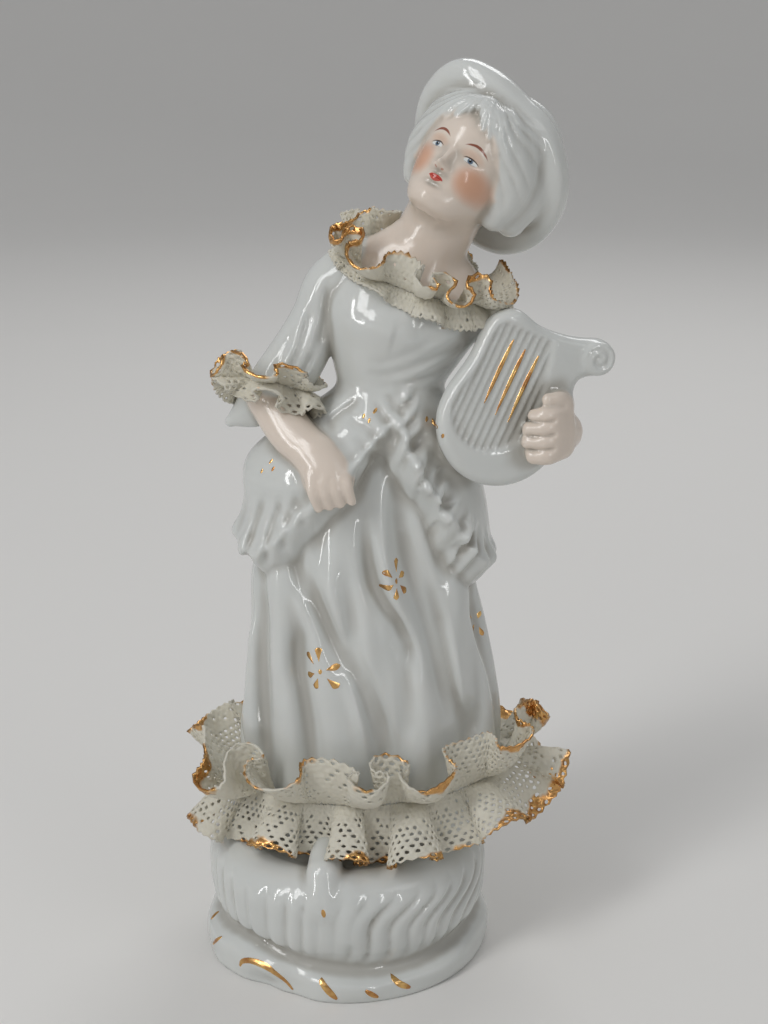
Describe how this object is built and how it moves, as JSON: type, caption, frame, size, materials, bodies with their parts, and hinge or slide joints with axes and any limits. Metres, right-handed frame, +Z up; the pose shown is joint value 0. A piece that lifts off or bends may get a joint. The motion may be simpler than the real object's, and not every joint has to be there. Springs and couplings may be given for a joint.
{
  "type": "porcelain lace figurine",
  "caption": "Glazed porcelain lady in a long gown and picture hat holding a lyre on a round ribbed base, with lace frills at neck, cuff and hem.",
  "frame": {"origin": "centre of the base's flat underside", "axes": "+Z up through the figure, -Y towards the viewer it faces, +X to that viewer's right, where the lyre is"},
  "size_m": [0.093, 0.066, 0.1998],
  "materials": {
    "glazed_porcelain": "glossy white glaze with painted face and gilt strokes",
    "porcelain_lace": "matte cream openwork with worn gilt rims"
  },
  "bodies": {
    "root": {"figure": "glazed_porcelain", "hem_lace": "porcelain_lace", "neck_lace": "porcelain_lace", "cuff_lace": "porcelain_lace"}
  },
  "joints": []
}
